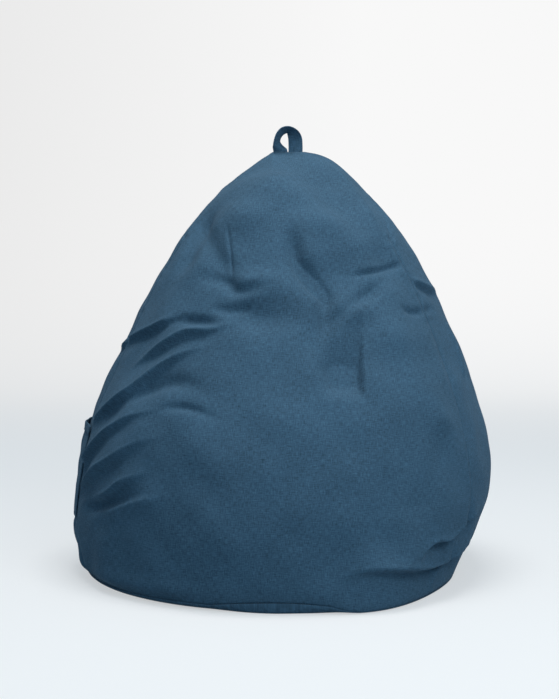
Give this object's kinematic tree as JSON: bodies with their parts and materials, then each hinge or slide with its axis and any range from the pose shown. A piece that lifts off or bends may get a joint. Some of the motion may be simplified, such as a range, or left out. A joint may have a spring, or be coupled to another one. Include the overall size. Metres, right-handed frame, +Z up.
{
  "type": "bean bag chair",
  "caption": "Pear-shaped bean bag chair in woven blue cloth, with sewn panels, a carry loop, a side pocket, a back zip and a zipped inner bag of beads.",
  "frame": {"origin": "middle of the base, on the floor", "axes": "+Z up, the front faces -Y, and the side pocket is towards -X"},
  "size_m": [0.8737, 0.889, 0.9224],
  "materials": {
    "cover_cloth": "matt woven melange",
    "strap": "matt woven",
    "liner_cloth": "matt",
    "beads": "matt foam beads",
    "zip_tape": "matt woven tape",
    "liner_zip_tape": "matt woven tape",
    "zip_metal": "satin lacquer"
  },
  "bodies": {
    "root": {"front_panel": "cover_cloth", "back_panel_left": "cover_cloth", "back_panel_right": "cover_cloth", "left_side_panel": "cover_cloth", "right_side_panel": "cover_cloth", "base_panel": "cover_cloth", "side_pocket": "cover_cloth", "loop_sewn_end_left": "strap", "loop_sewn_end_right": "strap", "liner_front": "liner_cloth", "liner_back": "liner_cloth", "liner_base": "liner_cloth", "bead_filling": "beads", "zip_tape_left": "zip_tape", "zip_tape_right": "zip_tape", "zip_top_stop_left": "zip_metal", "zip_top_stop_right": "zip_metal", "zip_bottom_stop": "zip_metal", "liner_zip_tape_left": "liner_zip_tape", "liner_zip_tape_right": "liner_zip_tape", "liner_zip_top_stop_left": "zip_metal", "liner_zip_top_stop_right": "zip_metal", "liner_zip_bottom_stop": "zip_metal"},
    "carry_loop": {"carry_loop": "strap"},
    "zip_slider": {"zip_slider": "zip_metal"},
    "zip_pull": {"zip_pull": "zip_metal"},
    "liner_zip_slider": {"liner_zip_slider": "zip_metal"}
  },
  "joints": [
    {"name": "loop_flop", "type": "hinge", "parent": "root", "child": "carry_loop", "pos_m": [0.012, 0.04999, 0.8748], "axis": [1, 0, 0], "range_deg": [-70, 70], "stiffness_Nm_per_rad": 0.002},
    {"name": "zip_travel", "type": "slide", "parent": "root", "child": "zip_slider", "axis": [0, -0.424, 0.9057], "range_m": [-0.377, 0], "deforming": ["zip_tape_left", "zip_tape_right"]},
    {"name": "zip_pull_swing", "type": "hinge", "parent": "zip_slider", "child": "zip_pull", "pos_m": [0, 0.18529, 0.69149], "axis": [1, 0, 0], "range_deg": [0, 170]},
    {"name": "liner_zip_travel", "type": "slide", "parent": "root", "child": "liner_zip_slider", "axis": [1, 0, 0], "range_m": [-0.216, 0], "deforming": ["liner_zip_tape_left", "liner_zip_tape_right"]}
  ]
}
